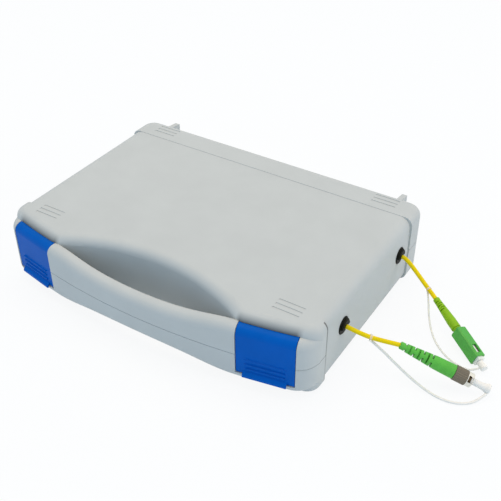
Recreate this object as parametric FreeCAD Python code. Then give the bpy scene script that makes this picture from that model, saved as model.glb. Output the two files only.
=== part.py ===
import FreeCAD, Part
import math
import os

os.makedirs("parts", exist_ok=True)
V = FreeCAD.Vector

# Fibre launch cable box: a shallow moulded case of two hinged shells with a bowed handle,
# two snap latches, a fibre coil bedded in foam, and two tails that leave the right side.
# Frame: origin under the middle of the case, +X to the tails, +Y to the hinge, +Z up.

# Case envelope
case_width = 247.8            # across the corner pillars
case_depth = 183.0            # front of the bowed handle to the rear wall
half_height = 27.0            # each shell, parting plane to outer face
wall = 2.2
bow_radius = 500.0            # plan curve of the front
front_corner_radius = 16.0
rear_corner_radius = 11.0
edge_round = 6.5              # round of the outer face's rim
panel_drop = 0.3              # rear strip of the lid stands this much above its panel
side_round = 8.0              # softer round between the pillars
side_inset = 0.9              # side wall between the pillars stands back
side_lean = 0.7               # and leans in by this much more
front_pillar_depth = 35.5     # handle front to the end of the front pillars
rear_pillar_depth = 23.0      # rear wall to the end of the rear pillars
seam_depth = 0.3              # fine groove round the outside where the shells meet
seam_height = 0.3             # its share in each shell

# Lower shoulder along the front that carries handle and latches
shoulder_height = 21.0
shoulder_depth = 7.0
shoulder_round = 6.0
step_corner_radius = 10.0

# Handle and finger opening
handle_thickness = 9.4
handle_end_inset = 50.9       # side of the case to the end of the finger opening
handle_waist = 5.4            # handle is this much slimmer, top and bottom, in the middle
handle_bend_x = 45.0          # each side of the middle, where its top line turns up
handle_bend_drop = 3.0        # how much slimmer it is there
handle_inner_round = 2.2
handle_room_inset = 38.9      # side of the case to the room behind the bar, run on into the body
handle_wall = 2.0
handle_end_wall = 4.0
scoop_depth = 32.2            # handle front to the scooped body wall
scoop_chord_inset = 71.1      # side of the case to each end of the chord that sets the scoop's arc
scoop_sag = 9.6               # depth of the arc over that chord
scoop_lead_radius = 12.0

# Short grip grooves near the corners of the outer faces
groove_count = 3
groove_length = 18.5
groove_width = 1.5
groove_depth = 0.35
groove_pitch = 4.2
groove_x = 97.5
groove_front_gap = 33.8       # handle front to the middle groove
groove_rear_gap = 11.5        # rear wall to the middle groove

# Rim seal
tongue_height = 1.8
tongue_setback = 0.2          # from the inside of the wall
tongue_thickness = 0.8
tongue_clearance = 0.3

# Rear hinge and standing feet
hinge_x = 62.0
hinge_offset = 4.2            # rear wall to the hinge axis
pin_radius = 1.9
pin_clearance = 0.05
knuckle_radius = 3.4
clip_length = 20.0
clip_gap = 3.0                # mouth of the snap clip
clip_mouth_turn = 40.0        # mouth faces this far below the rear
ear_thickness = 4.0
ear_side_clearance = 0.3
foot_reach = 10.0             # behind the rear wall
foot_thickness = 4.0
foot_x = 103.5
foot_top = 24.0
foot_tip_top = 22.5
foot_tip_bottom = 16.0
foot_bottom = 9.0

# Latches
latch_inset = 28.6            # side of the case to the latch's middle
latch_setback = 1.0           # latch face behind the bowed front
latch_tuck = 2.0              # its round top runs on under the pocket's roof
latch_width = 38.6
latch_gap = 0.4
latch_skin = 2.4
latch_reach = 14.5            # below the parting plane
pocket_depth = 13.6
pocket_roof_gap = 0.15
pocket_floor_gap = 0.7
hub_radius = 2.6
trunnion_radius = 1.8
trunnion_length = 2.0
hook_height = 2.0
hook_drop = 9.5               # parting plane to the top of the hook
hook_depth = 2.0
catch_height = 2.0
catch_gap = 0.4
catch_width = 24.0
grip_count = 4
grip_pitch = 3.6
grip_height = 1.5
grip_rise = 0.9
grip_width = 26.0
grip_first_drop = 2.0
tongue_tab_width = 29.0
tongue_tab_rise = 2.4
tongue_tab_drop = 1.6
tongue_tab_gap = 0.3          # tab to the lower shell

# Grommets in the right wall of the upper shell
front_grommet_y = -37.0
rear_grommet_y = 48.3
grommet_rise = 5.2            # parting plane to grommet axis
grommet_hole_radius = 3.2
grommet_wall = 1.5            # wall left between its flange and lip
grommet_flange_radius = 6.2
grommet_flange = 1.0
grommet_lip_radius = 4.2      # inside the wall
grommet_lip = 1.5
grommet_hood_radius = 5.4     # half-round hood over the cable
grommet_hood_reach = 1.6
grommet_chamfer = 0.4
spot_clearance = 0.3
spot_depth = 0.35             # flat seat below the leaning wall

# Cable and fibre
cable_diameter = 3.0
cable_clearance = 0.05
bend_share = 0.45             # part of the shorter run that a bend takes up
lead_diameter = 0.9

# Foam and coil inside
foam_clearance = 0.6
foam_rise = 0.6               # foam faces to the parting plane
coil_side_gap = 13.9          # side of the case to the coil
coil_y = 10.5
coil_outer_radius = 65.0
coil_inner_radius = 46.0
coil_height = 13.0
coil_rise = 3.0               # parting plane to the coil
coil_round = 4.0
coil_room = 1.2               # channel beyond the coil, sides and top
tie_count = 3
tie_width = 6.0
tie_wall = 0.7
tie_clearance = 0.1
sleeve_length = 60.0
sleeve_diameter = 3.2
sleeve_inset = 25.9           # side of the case to the near end of the splice sleeves
tray_length = 52.0
tray_width = 8.0
tray_wall = 1.2
slot_room = 0.5
lead_end_angle = 64.0         # where a fibre lead joins the coil, from its +X side
lead_run_share = 1 / 3        # part of its way across where the lead starts to turn
lead_turn_share = 0.22        # part of its way sideways by then

# Plug with a threaded nut, on the front tail
fc_axis = V(0.9210, 0.2126, -0.3260)
fc_boot_length = 37.0
fc_roll = -45.0               # slots and windows are turned this far about the plug
fc_collar_length = 3.2
fc_collar_radius = 2.5
fc_boot_back_radius = 2.8     # cone behind the collar
fc_boot_wide_radius = 4.4
fc_boot_wide_at = 25.0
fc_boot_front_radius = 4.6
fc_boot_band = 3.0            # straight band at its front
fc_slot_count = 7
fc_slot_pitch = 2.95
fc_slot_width = 1.1
fc_slot_bridge = 2.4
slot_core_radius = 1.75       # left under the boots' slots
boot_chamfer = 0.4
fc_nut_length = 12.2
fc_nut_radius = 5.0
fc_nut_grip_length = 8.2
fc_nut_flutes = 22
fc_flute_depth = 0.28
fc_nut_bore_radius = 4.1
fc_nut_back_wall = 3.0
fc_nut_gap = 0.2              # boot to nut
fc_window_length = 3.0
fc_window_width = 4.4
fc_window_gap = 0.5           # grip to window
nut_chamfer = 0.4
fc_barrel_radius = 2.95
fc_flange_radius = 3.95
fc_flange_length = 1.8
fc_barrel_setback = 1.4       # nut front to barrel front
fc_key_width = 1.9
fc_key_length = 3.0
fc_key_rise = 0.8
fc_cap_length = 13.2
fc_cap_neck_radius = 2.2
fc_cap_rim_radius = 3.3
fc_cap_rim_length = 1.4

# Push-pull plug, on the rear tail
sc_axis = V(0.7970, -0.5760, -0.1830)
sc_roll = 72.0                # turn of the boot's flex slots about its axis
sc_boot_length = 29.0
sc_boot_back_radius = 2.3
sc_boot_front_radius = 3.3
sc_boot_nose_radius = 2.85    # under the housing
sc_slot_count = 5
sc_slot_pitch = 1.75
sc_slot_width = 0.75
sc_slot_bridge = 2.0
sc_travel = 1.2               # housing slides back this far
sc_travel_room = 0.3
sc_housing_length = 25.0
sc_housing_width = 9.0
sc_housing_height = 7.4
sc_housing_chamfer = 0.8
sc_housing_wall = 1.1
sc_housing_overlap = 0.8      # housing starts this far over the boot
sc_rear_bevel = 1.1
sc_window_length = 6.6
sc_window_height = 3.6
sc_window_setback = 2.6       # housing front to window
sc_frame_chamfer = 0.35
sc_slide_clearance = 0.12
sc_nose_length = 2.0          # inner body beyond the housing
sc_cap_length = 6.0
sc_cap_neck_radius = 2.1
sc_cap_rim_radius = 2.5
sc_cap_rim_length = 2.0

# Parts common to both plugs
ferrule_radius = 1.25
ferrule_length = 11.5
ferrule_reach = 4.4           # beyond the barrel or nose
ferrule_clearance = 0.05
ferrule_collar_radius = 1.8
ferrule_collar_length = 1.2
spring_room_radius = 1.95
spring_length = 5.0
spring_wall = 0.4
spring_gap = 0.1
stem_radius = 2.05
stem_length = 9.0
crimp_radius = 2.5
crimp_length = 7.5
crimp_clearance = 0.05
cap_clearance = 0.05
cap_gap = 0.2
cap_chamfer = 0.6
ferrule_chamfer = 0.4

# Cap tethers
fc_tether_diameter = 1.7
sc_tether_diameter = 1.3
ring_gap = 0.15
ring_width = 2.4
ring_wall_share = 0.7         # ring wall as a part of the strap's diameter

# Free routes, from the inside of the case outwards, each x measured from the case's right side
half_width = case_width / 2


def beside(x, y, z):
    return V(half_width + x, y, z)


fc_ring_at = beside(16.5, -33.2, 27.4)   # bend of the cable that carries the tether's ring
sc_ring_at = beside(25.3, 41.6, 18.2)
front_route = [beside(-25.9, -37.0, 32.2), beside(-19.7, -37.8, 32.2), beside(-11.9, -37.7, 32.2),
               beside(-4.9, -37.0, 32.2), beside(2.5, -37.0, 32.2), beside(7.9, -36.2, 30.6), fc_ring_at,
               beside(25.5, -29.6, 25.6), beside(33.7, -26.4, 24.3)]
rear_route = [beside(-25.9, 48.3, 32.2), beside(-19.7, 49.1, 32.2), beside(-11.9, 49.0, 32.2),
              beside(-4.9, 48.3, 32.2), beside(2.5, 48.3, 32.2), beside(6.9, 47.7, 29.7),
              beside(12.3, 46.7, 25.7), beside(18.5, 44.7, 21.6), sc_ring_at, beside(32.7, 37.8, 15.2)]
fc_tether_route = [beside(16.0, -33.0, 25.3), beside(23.5, -31.4, 19.6), beside(33.7, -30.4, 11.4),
                   beside(44.9, -30.8, 5.0), beside(56.1, -32.6, 2.0), beside(66.3, -34.0, 1.2),
                   beside(75.3, -32.6, 1.1), beside(81.9, -29.0, 1.1), beside(86.5, -23.8, 1.6),
                   beside(89.5, -17.4, 3.4)]
sc_tether_route = [beside(24.8, 41.7, 16.3), beside(28.1, 36.9, 11.6), beside(31.9, 29.6, 6.6),
                   beside(36.9, 21.6, 3.2), beside(43.1, 13.6, 1.5), beside(50.7, 6.6, 1.0),
                   beside(59.5, 1.4, 0.9), beside(68.5, -1.0, 1.0), beside(74.3, -0.8, 1.8),
                   beside(78.1, 1.3, 3.8)]
fc_start = front_route[-1]
sc_start = rear_route[-1]

# Worked out from the sizes above
handle_half_length = half_width - handle_end_inset
handle_room_half = half_width - handle_room_inset
scoop_chord_half = half_width - scoop_chord_inset
scoop_radius = (scoop_chord_half ** 2 + scoop_sag ** 2) / (2 * scoop_sag)
coil_x = coil_side_gap + coil_outer_radius - half_width
sleeve_inner_x = half_width - sleeve_inset - sleeve_length
latch_x = half_width - latch_inset
front_y = -(case_depth + foot_reach) / 2
rear_y = front_y + case_depth
bow_centre = V(0, front_y + bow_radius, 0)
recess_front_y = front_y + front_pillar_depth
recess_rear_y = rear_y - rear_pillar_depth
scoop_y = front_y + scoop_depth
scoop_back_y = scoop_y + 2 * edge_round
cavity_front_y = scoop_y + wall + tongue_thickness
tongue_outside = tongue_setback + tongue_thickness
cavity_rear_y = rear_y - wall
cavity_half_width = half_width - side_inset - wall
hinge_y = rear_y + hinge_offset
pivot_in = shoulder_round
pivot_height = shoulder_height - shoulder_round
latch_turn = math.degrees(math.asin(latch_x / bow_radius))
cable_radius = cable_diameter / 2
tray_height = sleeve_diameter + 2 * (tray_wall + cable_clearance)
lead_circle = coil_outer_radius + tie_wall + tie_clearance + lead_diameter
grommet_outer_x = half_width - side_inset - side_lean * grommet_rise / half_height - spot_depth
grommet_inner_x = grommet_outer_x - grommet_wall
seal_stop = grommet_flange_radius + 2 * spot_clearance
ferrule_bore = ferrule_radius + ferrule_clearance


def line(start, end):
    return Part.LineSegment(start, end).toShape()


def arc(start, middle, end):
    return Part.Arc(start, middle, end).toShape()


def polygon(points):
    return Part.Face(Part.makePolygon(points + points[:1]))


def box(x, y, z):
    # x, y and z are each a pair, low and high
    corner = V(x[0], y[0], z[0])
    return Part.makeBox(x[1] - x[0], y[1] - y[0], z[1] - z[0], corner)


def mirrored_x(point):
    return V(-point.x, point.y, point.z)


def towards(centre, point, distance):
    step = point - centre
    step.normalize()
    return centre + step * distance


def arc_round(centre, start, end, radius):
    middle = towards(centre, (start + end) * 0.5, radius)
    return arc(start, middle, end)


def bow_y(x, inset):
    return bow_centre.y - math.sqrt((bow_radius - inset) ** 2 - x ** 2)


def bow_corner(inset, corner):
    # Round between the bowed front and the right side: its centre and two tangent points
    x = half_width - inset - corner
    bow = bow_radius - inset
    centre = V(x, bow_y(x, inset + corner), 0)
    return centre, centre + V(corner, 0, 0), towards(bow_centre, centre, bow)


def closed_by_sides(edges, side, back_y):
    # Joins a front path to straight sides and a straight back
    right_back = V(side.x, back_y, 0)
    left_back = mirrored_x(right_back)
    right = line(right_back, side)
    left = line(mirrored_x(side), left_back)
    return Part.Face(Part.Wire([right] + edges + [left, line(left_back, right_back)]))


def bowed_face(inset, back_y):
    corner = front_corner_radius - inset
    centre, side, front = bow_corner(inset, corner)
    edges = [arc_round(centre, side, front, corner)]
    edges.append(arc(front, V(0, front_y + inset, 0), mirrored_x(front)))
    edges.append(arc_round(mirrored_x(centre), mirrored_x(front), mirrored_x(side), corner))
    return closed_by_sides(edges, side, back_y)


def scooped_face(back_y):
    # Front of the full-height body: bowed beside the latches, scooped behind the handle
    bow = bow_radius - shoulder_depth
    corner = V(half_width - step_corner_radius, 0, 0)
    corner.y = bow_y(corner.x, shoulder_depth + step_corner_radius)
    side = corner + V(step_corner_radius, 0, 0)
    front = towards(bow_centre, corner, bow)
    scoop_centre = V(0, scoop_y - scoop_radius, 0)
    to_bow = bow - scoop_lead_radius
    to_scoop = scoop_radius + scoop_lead_radius
    rise = to_bow ** 2 - to_scoop ** 2 - bow_centre.y ** 2 + scoop_centre.y ** 2
    lead_y = rise / (2 * (scoop_centre.y - bow_centre.y))
    lead = V(math.sqrt(to_bow ** 2 - (lead_y - bow_centre.y) ** 2), lead_y, 0)
    on_bow = towards(bow_centre, lead, bow)
    on_scoop = towards(scoop_centre, lead, scoop_radius)
    right = [arc_round(corner, side, front, step_corner_radius)]
    right.append(arc_round(bow_centre, front, on_bow, bow))
    right.append(arc_round(lead, on_bow, on_scoop, scoop_lead_radius))
    left = [arc_round(mirrored_x(lead), mirrored_x(on_scoop), mirrored_x(on_bow), scoop_lead_radius)]
    left.append(arc_round(bow_centre, mirrored_x(on_bow), mirrored_x(front), bow))
    left.append(arc_round(mirrored_x(corner), mirrored_x(front), mirrored_x(side), step_corner_radius))
    scoop = arc(on_scoop, V(0, scoop_y, 0), mirrored_x(on_scoop))
    return closed_by_sides(right + [scoop] + left, side, back_y)


def rear_block():
    # Upright block behind the recesses with its rear corners rounded
    block = box((-half_width, half_width), (recess_rear_y, rear_y), (0, half_height))
    upright = [e for e in block.Edges if all(abs(v.Y - rear_y) < 1e-6 for v in e.Vertexes)]
    upright = [e for e in upright if abs(e.Vertexes[0].Z - e.Vertexes[1].Z) > half_height / 2]
    return block.makeFillet(rear_corner_radius, upright)


def leaning(low, high, height, start_y, end_y):
    # Block whose sides lean in from the half width low to the half width high
    corners = [V(-low, start_y, 0), V(low, start_y, 0), V(high, start_y, height), V(-high, start_y, height)]
    return polygon(corners).extrude(V(0, end_y - start_y, 0))


def rounded_top(block, height, radius, inner_y):
    # Rounds a block's top rim, apart from the straight edge at inner_y
    rim = []
    for edge in block.Edges:
        on_top = all(abs(v.Z - height) < 1e-6 for v in edge.Vertexes)
        on_inner = all(abs(v.Y - inner_y) < 1e-6 for v in edge.Vertexes)
        if on_top and not on_inner:
            rim.append(edge)
    return block.makeFillet(radius, rim)


def middle_block(height):
    # Between the pillars the side walls stand back, lean in and have a softer top edge
    low = half_width - side_inset
    block = leaning(low, low - side_lean, height, recess_front_y, recess_rear_y)
    rims = []
    for edge in block.Edges:
        on_top = all(abs(v.Z - height) < 1e-6 for v in edge.Vertexes)
        if on_top and abs(edge.Vertexes[0].X - edge.Vertexes[1].X) < 1e-6:
            rims.append(edge)
    return block.makeFillet(side_round, rims)


def body_front(panel):
    # Scooped front, deep enough for the scoop's round and trimmed to the side walls behind its pillars
    block = scooped_face(scoop_back_y).extrude(V(0, 0, panel))
    block = rounded_top(block, panel, edge_round, scoop_back_y)
    behind = box((-case_width, case_width), (recess_front_y, scoop_back_y), (0, half_height))
    return block.cut(behind.cut(middle_block(panel)))


def body_middle(panel):
    # Middle of the body, open at its front for the scoop's round
    half = handle_half_length
    return middle_block(panel).cut(box((-half, half), (recess_front_y, scoop_back_y), (0, half_height)))


def body_rear():
    return rounded_top(rear_block(), half_height, edge_round, recess_rear_y)


def above_front(inset):
    # Everything over the front's top line, which dips smoothly along the handle
    y = front_y - wall
    height = shoulder_height - inset
    right = V(handle_half_length, y, height)
    bend_right = V(handle_bend_x, y, height - handle_bend_drop)
    middle = V(0, y, height - handle_waist)
    left = mirrored_x(right)
    points = [left, mirrored_x(bend_right), middle, bend_right, right]
    dip = Part.BSplineCurve()
    dip.interpolate(Points=points, InitialTangent=V(1, 0, 0), FinalTangent=V(1, 0, 0))
    far_right = V(case_width, y, height)
    far_left = mirrored_x(far_right)
    rise = V(0, 0, half_height)
    edges = [line(far_left, left), dip.toShape(), line(right, far_right), line(far_right, far_right + rise)]
    edges += [line(far_right + rise, far_left + rise), line(far_left + rise, far_left)]
    return Part.Face(Part.Wire(edges)).extrude(V(0, front_pillar_depth + 2 * wall, 0))


def handle_plan(reach, inset):
    # Plan of the bar between its outer and inner bow
    right_outer = V(reach, bow_y(reach, inset), 0)
    right_inner = V(reach, bow_y(reach, handle_thickness - inset), 0)
    edges = [line(right_inner, right_outer)]
    edges.append(arc(right_outer, V(0, bow_y(0, inset), 0), mirrored_x(right_outer)))
    edges.append(line(mirrored_x(right_outer), mirrored_x(right_inner)))
    edges.append(arc(mirrored_x(right_inner), V(0, bow_y(0, handle_thickness - inset), 0), right_inner))
    return Part.Face(Part.Wire(edges))


def behind_handle():
    # Room behind the bar, as far as the body's front wall
    back_y = recess_front_y
    right_inner = V(handle_room_half, bow_y(handle_room_half, handle_thickness), 0)
    right_back = V(handle_room_half, back_y, 0)
    edges = [line(right_inner, right_back), line(right_back, mirrored_x(right_back))]
    edges.append(line(mirrored_x(right_back), mirrored_x(right_inner)))
    edges.append(arc(mirrored_x(right_inner), V(0, bow_y(0, handle_thickness), 0), right_inner))
    return Part.Face(Part.Wire(edges)).extrude(V(0, 0, half_height))


def handle_hollow():
    bar = handle_plan(handle_half_length - handle_end_wall, handle_wall).extrude(V(0, 0, half_height))
    return bar.cut(above_front(handle_wall))


def front_bar():
    # Low front of a shell: latch housings and corners at its ends, handle between them
    back_y = recess_front_y
    block = bowed_face(0, back_y).extrude(V(0, 0, half_height)).cut(above_front(0))
    low = shoulder_height - handle_waist - wall
    rim = []
    for edge in block.Edges:
        first = edge.Vertexes[0]
        last = edge.Vertexes[-1]
        raised = all(v.Z > low for v in edge.Vertexes)
        across = abs(first.X - last.X) < 1e-6 and abs(first.X) < handle_half_length + wall
        on_back = all(abs(v.Y - back_y) < 1e-6 for v in edge.Vertexes)
        if raised and not across and not on_back:
            rim.append(edge)
    block = block.makeFillet(shoulder_round, rim).cut(behind_handle())
    for edge in block.Edges:
        middle = edge.valueAt((edge.FirstParameter + edge.LastParameter) / 2)
        inner = abs(middle.y - bow_y(middle.x, handle_thickness)) < 0.01 and edge.Length > handle_half_length
        if inner and middle.z > low - wall:
            return block.makeFillet(handle_inner_round, [edge])


def cavity_block(height):
    # Room inside a shell, leaning with the side walls
    block = leaning(cavity_half_width, cavity_half_width - side_lean, height, cavity_front_y, cavity_rear_y)
    upright = [e for e in block.Edges if abs(e.Vertexes[0].Z - e.Vertexes[1].Z) > height / 2]
    block = block.makeFillet(rear_corner_radius - wall, upright)
    rim = [e for e in block.Edges if all(abs(v.Z - height) < 1e-6 for v in e.Vertexes)]
    return block.makeFillet(edge_round - wall, rim)


def cavity_plan(grow):
    x = cavity_half_width + grow
    low = cavity_front_y - grow
    high = cavity_rear_y + grow
    plan = polygon([V(-x, low, 0), V(x, low, 0), V(x, high, 0), V(-x, high, 0)])
    prism = plan.extrude(V(0, 0, 1))
    upright = [e for e in prism.Edges if abs(e.Vertexes[0].Z - e.Vertexes[1].Z) > 0.5]
    prism = prism.makeFillet(rear_corner_radius - wall + grow, upright)
    return [f for f in prism.Faces if f.CenterOfMass.z < 1e-6][0]


def grip_grooves(drop):
    # Short grooves near each corner, cut into the panel in front and the strip behind
    rows = ((front_y + groove_front_gap, half_height - drop), (rear_y - groove_rear_gap, half_height))
    cuts = []
    for x in (-groove_x, groove_x):
        across = (x - groove_length / 2, x + groove_length / 2)
        for middle_y, height in rows:
            for k in range(groove_count):
                y = middle_y + (k - (groove_count - 1) / 2) * groove_pitch
                along = (y - groove_width / 2, y + groove_width / 2)
                cuts.append(box(across, along, (height - groove_depth, height + wall)))
    return cuts


def standing_feet():
    feet = []
    tip = rear_y + foot_reach
    root = rear_y - wall / 2
    for side in (-1, 1):
        x = side * foot_x - foot_thickness / 2
        outline = [V(x, root, foot_bottom), V(x, tip, foot_tip_bottom)]
        outline += [V(x, tip, foot_tip_top), V(x, root, foot_top)]
        feet.append(polygon(outline).extrude(V(foot_thickness, 0, 0)))
    return feet


def seam_groove():
    # Ring cut from the outside at the mouth, so that two closed shells show a fine line
    core = bowed_face(seam_depth, rear_y - seam_depth).extrude(V(0, 0, seam_height))
    rear = []
    for edge in core.Edges:
        first, last = edge.Vertexes[0], edge.Vertexes[-1]
        if abs(first.Z - last.Z) > seam_height / 2 and first.Y > recess_rear_y:
            rear.append(edge)
    core = core.makeFillet(rear_corner_radius - seam_depth, rear)
    slab = box((-case_width, case_width), (-case_depth, case_depth), (0, seam_height))
    return slab.cut(core)


def half_shell(drop):
    # One shell with its mouth at z = 0 and its outer face upwards
    panel = half_height - drop
    parts = [body_front(panel), body_rear(), front_bar()] + standing_feet()
    solid = body_middle(panel).multiFuse(parts)
    cuts = [seam_groove(), cavity_block(panel - wall), handle_hollow()]
    return solid.cut(cuts).cut(grip_grooves(drop))


def latch_place(shape):
    # From the latch's own frame (x along it, -y outwards, z from the parting plane) to the right front
    place = V(latch_x, bow_y(latch_x, latch_setback), half_height)
    shape.Placement = FreeCAD.Placement(place, FreeCAD.Rotation(V(0, 0, 1), latch_turn))
    return shape


def both_sides(shape):
    return [shape, shape.mirror(V(0, 0, 0), V(1, 0, 0))]


def latch_pocket(low, high):
    half = latch_width / 2 + latch_gap
    return latch_place(box((-half, half), (-2 * shoulder_depth, pocket_depth), (low, high)))


def trunnion(radius, gap):
    length = latch_width + 2 * trunnion_length + 2 * gap
    start = V(-length / 2, pivot_in, pivot_height)
    return Part.makeCylinder(radius, length, start, V(1, 0, 0))


def hinge_round(radius, x, length):
    return Part.makeCylinder(radius, length, V(x - length / 2, hinge_y, half_height), V(1, 0, 0))


def hinge_clip(x):
    # Snap clip on the upper shell, open to the rear and below
    clip = hinge_round(knuckle_radius, x, clip_length)
    top = half_height + 2 * knuckle_radius
    span = (x - clip_length / 2, x + clip_length / 2)
    web = box(span, (rear_y - wall / 2, hinge_y), (half_height + pin_radius, top))
    gap = (half_height - clip_gap / 2, half_height + clip_gap / 2)
    mouth = box(span, (hinge_y, hinge_y + 2 * knuckle_radius), gap)
    mouth.rotate(V(x, hinge_y, half_height), V(1, 0, 0), -clip_mouth_turn)
    bore = hinge_round(pin_radius + pin_clearance, x, clip_length + wall)
    return clip.fuse(web).cut([bore, mouth])


def hinge_ears(x):
    # Two ears on the lower shell with the pin moulded between them
    parts = [hinge_round(pin_radius, x, clip_length + 2 * ear_side_clearance + ear_thickness)]
    web_y = (rear_y - wall / 2, hinge_y)
    web_z = (half_height - 2 * knuckle_radius, half_height - pin_radius)
    for side in (-1, 1):
        middle = x + side * (clip_length / 2 + ear_side_clearance + ear_thickness / 2)
        parts.append(hinge_round(knuckle_radius, middle, ear_thickness))
        parts.append(box((middle - ear_thickness / 2, middle + ear_thickness / 2), web_y, web_z))
    return parts[0].multiFuse(parts[1:])


def grommet_seat(y, deeper):
    # Flat round seat for a grommet's flange in the outer face of the right wall
    start = V(grommet_outer_x - deeper, y, half_height + grommet_rise)
    return Part.makeCylinder(grommet_flange_radius + spot_clearance, 2 * wall, start, V(1, 0, 0))


def grommet_cuts(y):
    z = half_height + grommet_rise
    along = V(1, 0, 0)
    hole = Part.makeCylinder(grommet_hole_radius, 4 * wall, V(half_width - 3 * wall, y, z), along)
    lip = grommet_lip_radius + spot_clearance
    inner = Part.makeCylinder(lip, 3 * wall, V(grommet_inner_x - 3 * wall, y, z), along)
    return [hole, inner, grommet_seat(y, 0)]


def grommet_bays(half):
    # Stretches of the right wall where the rim seal stops for a grommet
    z = (half_height, 2 * half_height)
    return [box((0, case_width), (y - half, y + half), z) for y in (front_grommet_y, rear_grommet_y)]


def top_shell():
    solid = half_shell(panel_drop)
    solid.translate(V(0, 0, half_height))
    rebate = cavity_plan(tongue_outside + tongue_clearance).extrude(V(0, 0, tongue_height + tongue_clearance))
    rebate.translate(V(0, 0, half_height))
    clips = [hinge_clip(-hinge_x), hinge_clip(hinge_x)]
    cuts = [rebate.cut(grommet_bays(seal_stop))]
    cuts += grommet_cuts(front_grommet_y) + grommet_cuts(rear_grommet_y)
    cuts += both_sides(latch_pocket(-wall, shoulder_height + pocket_roof_gap))
    cuts += both_sides(latch_place(trunnion(trunnion_radius + pin_clearance, latch_gap)))
    return solid.multiFuse(clips).cut(cuts)


def catch_ledge():
    low = -hook_drop + catch_gap
    outer = latch_skin + hook_depth + catch_gap
    across = (-catch_width / 2, catch_width / 2)
    return latch_place(box(across, (outer, pocket_depth + wall / 2), (low, low + catch_height)))


def bottom_shell():
    solid = half_shell(0).mirror(V(0, 0, 0), V(0, 0, 1))
    solid.translate(V(0, 0, half_height))
    rise = V(0, 0, tongue_height)
    tongue = cavity_plan(tongue_outside).extrude(rise).cut(cavity_plan(tongue_setback).extrude(rise))
    tongue.translate(V(0, 0, half_height))
    tongue = tongue.cut(grommet_bays(seal_stop + tongue_clearance))
    floor = -latch_reach - pocket_floor_gap
    cuts = both_sides(latch_pocket(floor, wall))
    cuts += [grommet_seat(y, spot_clearance) for y in (front_grommet_y, rear_grommet_y)]
    ears = [hinge_ears(-hinge_x), hinge_ears(hinge_x)]
    return solid.cut(cuts).multiFuse([tongue] + ears + both_sides(catch_ledge()))


def latch():
    half = latch_width / 2
    plate = box((-half, half), (0, latch_skin), (-latch_reach, pivot_height))
    quarter = Part.makeCylinder(shoulder_round, latch_width, V(-half, pivot_in, pivot_height), V(1, 0, 0))
    quarter = quarter.common(box((-half, half), (0, pivot_in + latch_tuck), (pivot_height, shoulder_height)))
    hub = Part.makeCylinder(hub_radius, latch_width, V(-half, pivot_in, pivot_height), V(1, 0, 0))
    parts = [quarter, hub, trunnion(trunnion_radius, 0)]
    hook_z = (-hook_drop - hook_height, -hook_drop)
    hook = (-catch_width / 2, catch_width / 2)
    parts.append(box(hook, (latch_skin, latch_skin + hook_depth), hook_z))
    for k in range(grip_count):
        top = -grip_first_drop - k * grip_pitch
        parts.append(grip_rib(top))
    parts.append(finger_tab())
    return latch_place(plate.multiFuse(parts))


def grip_rib(top):
    # Low rib across the latch, rounded by its chamfered profile
    x = -grip_width / 2
    edge = grip_rise / 2
    low = top - grip_height
    points = [V(x, 0, low), V(x, -grip_rise, low + edge), V(x, -grip_rise, top - edge), V(x, 0, top)]
    return polygon(points).extrude(V(grip_width, 0, 0))


def finger_tab():
    # Lip under the latch's lower edge, to pull it out by
    x = -tongue_tab_width / 2
    low = -latch_reach - tongue_tab_drop
    root = -latch_reach + tongue_tab_rise
    back = -latch_setback - tongue_tab_gap
    points = [V(x, 0, root), V(x, -tongue_tab_rise, -latch_reach), V(x, -tongue_tab_rise, low),
              V(x, back, low), V(x, back, -latch_reach), V(x, 0, -latch_reach)]
    return polygon(points).extrude(V(tongue_tab_width, 0, 0))


def grommet(y):
    # Ring with a flange outside, a lip inside and a half-round hood over the cable
    outer = grommet_outer_x + grommet_flange
    inner = grommet_inner_x - grommet_lip
    flange = grommet_flange_radius
    lip = grommet_lip_radius
    hood = grommet_hood_radius
    c = grommet_chamfer
    waist = grommet_hole_radius - cable_clearance
    bore = cable_radius + cable_clearance
    ring = turned([(inner, bore), (inner, lip - c), (inner + c, lip), (grommet_inner_x, lip),
                   (grommet_inner_x, waist), (grommet_outer_x, waist), (grommet_outer_x, flange),
                   (outer - c, flange), (outer, flange - c), (outer, bore)])
    tip = outer + grommet_hood_reach
    section = [(outer - c, bore), (outer - c, hood), (tip - 2 * c, hood), (tip, hood - 2 * c), (tip, bore)]
    half = polygon([V(x, r, 0) for x, r in section]).revolve(V(0, 0, 0), V(1, 0, 0), 180)
    solid = ring.fuse(half)
    solid.translate(V(0, y, half_height + grommet_rise))
    return solid


def bend(before, corner, after):
    # Largest tangent arc that the shorter run allows: start, middle, end and radius
    shorter = min((corner - before).Length, (after - corner).Length)
    half_turn = (corner - before).getAngle(after - corner) / 2
    reach = bend_share * shorter
    radius = reach / math.tan(half_turn)
    start = towards(corner, before, reach)
    end = towards(corner, after, reach)
    inner = radius * (1 / math.cos(half_turn) - 1)
    return start, towards(corner, (start + end) * 0.5, inner), end, radius


def cord(name, points, diameter):
    # Round cord along straight runs joined by tangent arcs
    edges = []
    radii = []
    last = points[0]
    for before, corner, after in zip(points, points[1:], points[2:]):
        start, middle, end, radius = bend(before, corner, after)
        edges += [line(last, start), arc(start, middle, end)]
        radii.append(round(radius, 1))
        last = end
    path = Part.Wire(edges + [line(last, points[-1])])
    ring = Part.Wire([Part.makeCircle(diameter / 2, points[0], points[1] - points[0])])
    solid = path.makePipeShell([ring], True, False)
    ideal = math.pi * diameter ** 2 / 4 * path.Length
    ratio = round(solid.Volume / ideal, 4)
    print(name, "length", round(path.Length, 1), "volume ratio", ratio, "radii", radii)
    return solid


def splice_sleeve(y):
    start = V(sleeve_inner_x, y, half_height + grommet_rise)
    return Part.makeCylinder(sleeve_diameter / 2, sleeve_length, start, V(1, 0, 0))


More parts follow.
